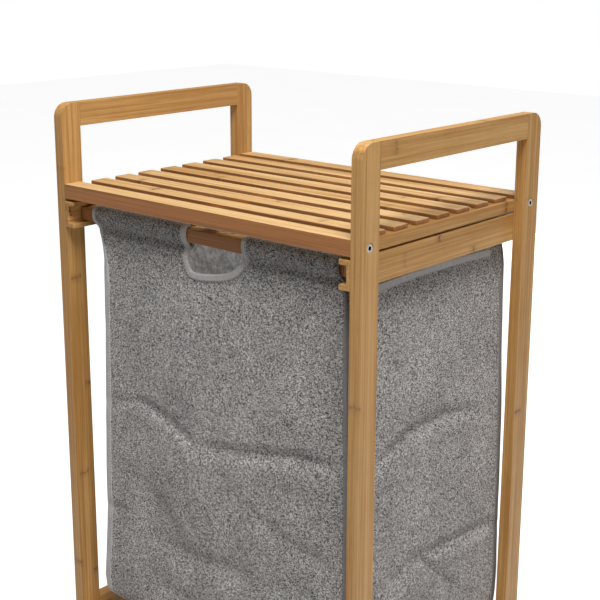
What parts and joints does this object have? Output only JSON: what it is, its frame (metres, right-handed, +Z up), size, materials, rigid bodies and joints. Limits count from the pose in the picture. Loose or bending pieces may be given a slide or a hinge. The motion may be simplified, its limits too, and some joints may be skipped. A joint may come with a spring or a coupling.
{
  "type": "laundry sorter on wheels",
  "caption": "Laundry sorter on wheels: bamboo end frames with handles, a slatted top, and a grey cloth bag that slides out of two channels, on swivel casters.",
  "frame": {"origin": "on the floor under the middle of the frame, halfway between the end frames and halfway between front and back", "axes": "+Z up; -Y is the front, where the bag slides out; +X is to the right seen from the front"},
  "size_m": [0.47, 0.33, 0.73],
  "materials": {
    "bamboo": "oiled strip-laminated bamboo, satin",
    "pale_bamboo": "oiled strip-laminated bamboo, paler, satin",
    "cloth": "heathered grey linen-look cloth with a coated inside",
    "bolt_steel": "dull nickel socket-head bolts",
    "zinc": "bright zinc plated pressed steel",
    "grey_plastic": "light grey moulded plastic",
    "tyre_rubber": "dark soft rubber",
    "pedal_plastic": "dark red moulded plastic"
  },
  "bodies": {
    "frame": {"post_front_left": "bamboo", "post_front_right": "bamboo", "post_back_left": "bamboo", "post_back_right": "bamboo", "handle_rail_left": "bamboo", "handle_rail_right": "bamboo", "end_rail_left": "bamboo", "end_rail_right": "bamboo", "base_rail_front": "bamboo", "base_rail_back": "bamboo", "batten_middle": "bamboo", "batten_left": "bamboo", "batten_right": "bamboo", "channel_left": "bamboo", "channel_right": "bamboo", "shelf_rail_front": "pale_bamboo", "shelf_rail_back": "pale_bamboo", "slat_1": "pale_bamboo", "slat_2": "pale_bamboo", "slat_3": "pale_bamboo", "slat_4": "pale_bamboo", "slat_5": "pale_bamboo", "slat_6": "pale_bamboo", "slat_7": "pale_bamboo", "bolt_shelf_front_left": "bolt_steel", "bolt_base_front_left": "bolt_steel", "bolt_shelf_front_right": "bolt_steel", "bolt_base_front_right": "bolt_steel", "bolt_shelf_back_left": "bolt_steel", "bolt_base_back_left": "bolt_steel", "bolt_shelf_back_right": "bolt_steel", "bolt_base_back_right": "bolt_steel", "caster_plate_front_left": "zinc", "caster_plate_front_right": "zinc", "caster_plate_back_left": "zinc", "caster_plate_back_right": "zinc"},
    "bag_frame": {"bag_bar_left": "bamboo", "bag_bar_right": "bamboo", "bag_bar_front": "bamboo", "bag_bar_back": "bamboo", "bag": "cloth"},
    "caster_front_left": {"caster_fork_front_left": "zinc", "caster_axle_front_left": "zinc"},
    "wheel_front_left": {"wheel_core_front_left": "grey_plastic", "wheel_tyre_front_left": "tyre_rubber"},
    "pedal_front_left": {"brake_pedal_front_left": "pedal_plastic"},
    "caster_front_right": {"caster_fork_front_right": "zinc", "caster_axle_front_right": "zinc"},
    "wheel_front_right": {"wheel_core_front_right": "grey_plastic", "wheel_tyre_front_right": "tyre_rubber"},
    "pedal_front_right": {"brake_pedal_front_right": "pedal_plastic"},
    "caster_back_left": {"caster_fork_back_left": "zinc", "caster_axle_back_left": "zinc"},
    "wheel_back_left": {"wheel_core_back_left": "grey_plastic", "wheel_tyre_back_left": "tyre_rubber"},
    "caster_back_right": {"caster_fork_back_right": "zinc", "caster_axle_back_right": "zinc"},
    "wheel_back_right": {"wheel_core_back_right": "grey_plastic", "wheel_tyre_back_right": "tyre_rubber"}
  },
  "joints": [
    {"name": "bag_slide", "type": "slide", "parent": "frame", "child": "bag_frame", "axis": [0, -1, 0], "range_m": [0, 0.2]},
    {"name": "swivel_front_left", "type": "hinge", "parent": "frame", "child": "caster_front_left", "pos_m": [-0.1999, -0.138, 0.045], "axis": [0, 0, 1], "continuous": true},
    {"name": "wheel_spin_front_left", "type": "hinge", "parent": "caster_front_left", "child": "wheel_front_left", "pos_m": [-0.1999, -0.129, 0.016], "axis": [1, 0, 0], "continuous": true},
    {"name": "brake_front_left", "type": "hinge", "parent": "caster_front_left", "child": "pedal_front_left", "pos_m": [-0.1999, -0.1225, 0.034], "axis": [-1, 0, 0], "range_deg": [0, 10]},
    {"name": "swivel_front_right", "type": "hinge", "parent": "frame", "child": "caster_front_right", "pos_m": [0.1999, -0.138, 0.045], "axis": [0, 0, 1], "continuous": true},
    {"name": "wheel_spin_front_right", "type": "hinge", "parent": "caster_front_right", "child": "wheel_front_right", "pos_m": [0.1999, -0.129, 0.016], "axis": [1, 0, 0], "continuous": true},
    {"name": "brake_front_right", "type": "hinge", "parent": "caster_front_right", "child": "pedal_front_right", "pos_m": [0.1999, -0.1225, 0.034], "axis": [-1, 0, 0], "range_deg": [0, 10]},
    {"name": "swivel_back_left", "type": "hinge", "parent": "frame", "child": "caster_back_left", "pos_m": [-0.1999, 0.138, 0.045], "axis": [0, 0, 1], "continuous": true},
    {"name": "wheel_spin_back_left", "type": "hinge", "parent": "caster_back_left", "child": "wheel_back_left", "pos_m": [-0.1999, 0.147, 0.016], "axis": [1, 0, 0], "continuous": true},
    {"name": "swivel_back_right", "type": "hinge", "parent": "frame", "child": "caster_back_right", "pos_m": [0.1999, 0.138, 0.045], "axis": [0, 0, 1], "continuous": true},
    {"name": "wheel_spin_back_right", "type": "hinge", "parent": "caster_back_right", "child": "wheel_back_right", "pos_m": [0.1999, 0.147, 0.016], "axis": [1, 0, 0], "continuous": true}
  ]
}
